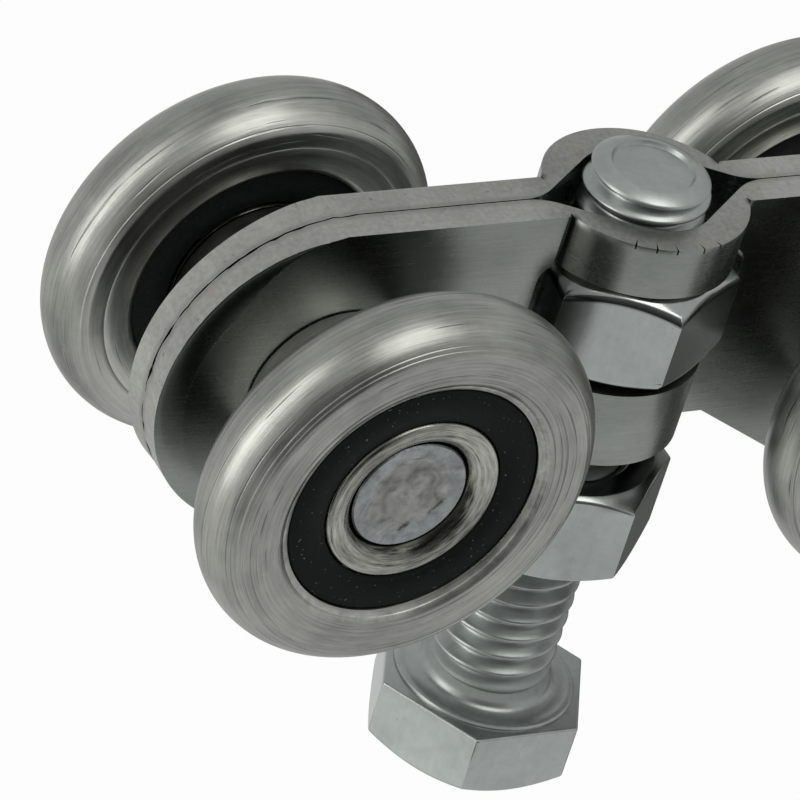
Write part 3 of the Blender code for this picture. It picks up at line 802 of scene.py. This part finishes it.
bpy.ops.object.mode_set(mode="OBJECT")
end_form = [(0.0, -0.36), (2.2, -0.36), (2.9, -0.36), (3.1, -0.34), (3.2, -0.22), (3.32, -0.04), (3.5, 0.0)]
end_form += [(3.66, -0.03), (4.2, -0.28), (4.5, -0.45), (4.65, -0.56), (4.7, -0.68), (4.62, -0.82)]
end_form += [(3.95, -1.35), (2.0, -1.4), (0.0, -1.4)]
cut(bolt, lathe_tool("end", [(radius, bolt_top + height) for radius, height in end_form], columns), "UNION")

head_low = bearing - 6.4
head = hexagon("head", head_low, bearing - 0.3, -121.0)
past = corner_reach + 1.0
trim = [(0.0, bearing), (past, bearing), (past, head_low + 0.58 * (past - 7.4)), (7.4, head_low), (0.0, head_low)]
cut(head, lathe_tool("trim", trim, 144), "INTERSECT")
soften(head, 0.2, 3, 18.0)
neck_form = [(0.0, 1.5), (4.2, 1.5), (4.62, 1.25), (4.86, 1.0), (5.06, 0.8), (5.22, 0.6), (5.32, 0.4)]
neck_form += [(5.46, 0.22), (5.74, 0.08), (6.1, 0.0), (6.5, -0.05), (6.8, 0.0), (7.1, 0.04), (7.3, -0.02)]
neck_form += [(7.42, -0.16), (7.45, -0.5), (7.45, -1.2), (0.0, -1.2)]
cut(head, lathe_tool("neck", [(radius, bearing + height) for radius, height in neck_form], columns), "UNION")
cut(bolt, head, "UNION")
finish_mesh(bolt, 35.0, True)
bolt.data.materials.append(bright_zinc)
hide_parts("hanger_bolt")
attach(bolt, "bolt_body")

# Balls and cages.  Polished bearing balls in a moulded crown cage, shut in
# between the races and the seals.  The solids stay as they are.
made, spot, shader = start_finish("polished_ball_steel", 1.0)
x, y, z = xyz(spot)
haze = grain(x, y, z, 0.8, 3.0)
shade(shader, (0.6 + haze).mix((0.5, 0.5, 0.5), (0.78, 0.78, 0.78)), 0.08 + haze * 0.05)
ball_steel = made
made, spot, shader = start_finish("moulded_cage_nylon", 0.0)
x, y, z = xyz(spot)
haze = grain(x, y, z, 0.5, 3.0)
shade(shader, (0.5 + haze).mix((0.42, 0.38, 0.28), (0.62, 0.58, 0.46)), 0.5 + haze * 0.2, haze, 0.00004, 0.4)
cage_nylon = made
for name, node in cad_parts.items():
    if name.startswith("ball_") or name.startswith("cage_"):
        node.data.materials.clear()
        node.data.materials.append(ball_steel if name.startswith("ball_") else cage_nylon)

# Studio: a white floor well below the part, soft boxes above and beside it,
# and the camera at the photograph's angle.
bpy.ops.object.select_all(action="DESELECT")
bpy.ops.mesh.primitive_plane_add(size=6.0, location=(0.0, 0.0, -0.16))
floor = bpy.context.object
floor.name = "studio_floor"
paint, spot, shader = start_finish("floor_white", 0.0)
shader.inputs["Base Color"].default_value = (0.93, 0.93, 0.93, 1.0)
shader.inputs["Roughness"].default_value = 0.9
tree = paint.node_tree
seen = spot.node("ShaderNodeLightPath", {}, {})
rays = seen.socket.node.outputs
watched = Value(tree, rays["Is Camera Ray"])
watched = watched.maths("MAXIMUM", watched, Value(tree, rays["Is Transmission Ray"]))
mirrored = Value(tree, rays["Is Glossy Ray"])
glow = spot.node("ShaderNodeEmission", {}, {"Color": (1.0, 1.0, 1.0, 1.0), "Strength": watched + mirrored * 0.68})
watched = watched.maths("MAXIMUM", watched, mirrored)
mixed = spot.node("ShaderNodeMixShader", {}, {0: watched * 0.94, 2: glow})
tree.links.new(shader.outputs[0], mixed.socket.node.inputs[1])
tree.links.new(mixed.socket, tree.nodes["Material Output"].inputs["Surface"])
floor.data.materials.append(paint)

world = bpy.data.worlds.new("studio_air")
bpy.context.scene.world = world
world.use_nodes = True
tree = world.node_tree
rays = tree.nodes.new("ShaderNodeLightPath").outputs
watched = Value(tree, rays["Is Camera Ray"])
air = watched.mix((0.55, 0.555, 0.55), (1.0, 1.0, 1.0))
tree.links.new(air.socket, tree.nodes["Background"].inputs["Color"])


def soft_box(name, place, aim, width, height, brightness):
    """A rectangular soft light at a place, turned to a point, as bright as a white surface times a number."""
    lamp = bpy.data.lights.new(name, "AREA")
    lamp.shape = "RECTANGLE"
    lamp.size = width
    lamp.size_y = height
    lamp.energy = brightness * math.pi * width * height
    lamp.color = (1.0, 0.99, 0.95)
    made = bpy.data.objects.new(name, lamp)
    made.location = place
    made.rotation_euler = (Vector(aim) - Vector(place)).to_track_quat("-Z", "Y").to_euler()
    made.visible_camera = False
    bpy.context.scene.collection.objects.link(made)
    return made


soft_box("box_above", (0.05, -0.21, 0.57), (0.0, 0.0, 0.0), 0.36, 0.34, 2.2)
soft_box("box_left", (-0.42, 0.03, 0.20), (0.0, 0.03, 0.20), 0.15, 0.67, 2.5)


def card(name, place, width, height, aim, brightness):
    """A card that glows and that only reflections show, to paint light and dark reflections: its place, size, the
    point it faces and how bright it looks.
    """
    bpy.ops.object.select_all(action="DESELECT")
    bpy.ops.mesh.primitive_plane_add(size=1.0, location=place)
    made = bpy.context.object
    made.name = name
    made.scale = (width, height, 1.0)
    made.rotation_euler = (Vector(aim) - Vector(place)).to_track_quat("Z", "Y").to_euler()
    made.visible_camera = False
    made.visible_shadow = False
    made.visible_diffuse = False
    paint, spot, shader = start_finish(name, 0.0)
    shader.inputs["Base Color"].default_value = (0.02, 0.02, 0.02, 1.0)
    shader.inputs["Roughness"].default_value = 0.9
    shader.inputs["Emission Color"].default_value = (0.985, 1.0, 0.955, 1.0)
    shader.inputs["Emission Strength"].default_value = brightness
    made.data.materials.append(paint)


# Painted reflections: glowing cards that only reflections see darken and lighten the metal's reflections.
card("card_front", (-0.30, -0.55, 0.22), 0.90, 0.76, (-0.30, 0.0, 0.22), 0.09)
card("card_left", (-0.26, 0.06, -0.155), 0.30, 0.34, (-0.26, 0.06, 1.0), 0.85)
card("card_near", (-0.27, -0.175, -0.156), 0.22, 0.25, (-0.27, -0.175, 1.0), 0.2)
card("card_right", (0.12, 0.005, -0.065), 0.075, 0.10, (0.0, 0.005, -0.065), 0.08)
card("card_low", (0.12, 0.11, -0.06), 0.14, 0.18, (0.0, 0.11, -0.06), 0.10)

camera = bpy.data.cameras.new("photo_camera")
camera.sensor_width = 36.0
camera.lens = 36.0 * 6137.6 / 800.0
camera.clip_start = 0.01
camera.clip_end = 20.0
seen_from = bpy.data.objects.new("photo_camera", camera)
right = Vector((0.85751, -0.44991, 0.24952))
up = Vector((0.09164, 0.61083, 0.78644))
behind = Vector((-0.50624, -0.65152, 0.56502))
turn = Matrix((right, up, behind)).transposed().to_4x4()
seen_from.matrix_world = Matrix.Translation(Vector((-251.78, -303.04, 258.44 + axle_z)) * unit) @ turn
bpy.context.scene.collection.objects.link(seen_from)
bpy.context.scene.camera = seen_from
bpy.context.scene.view_settings.view_transform = "Standard"
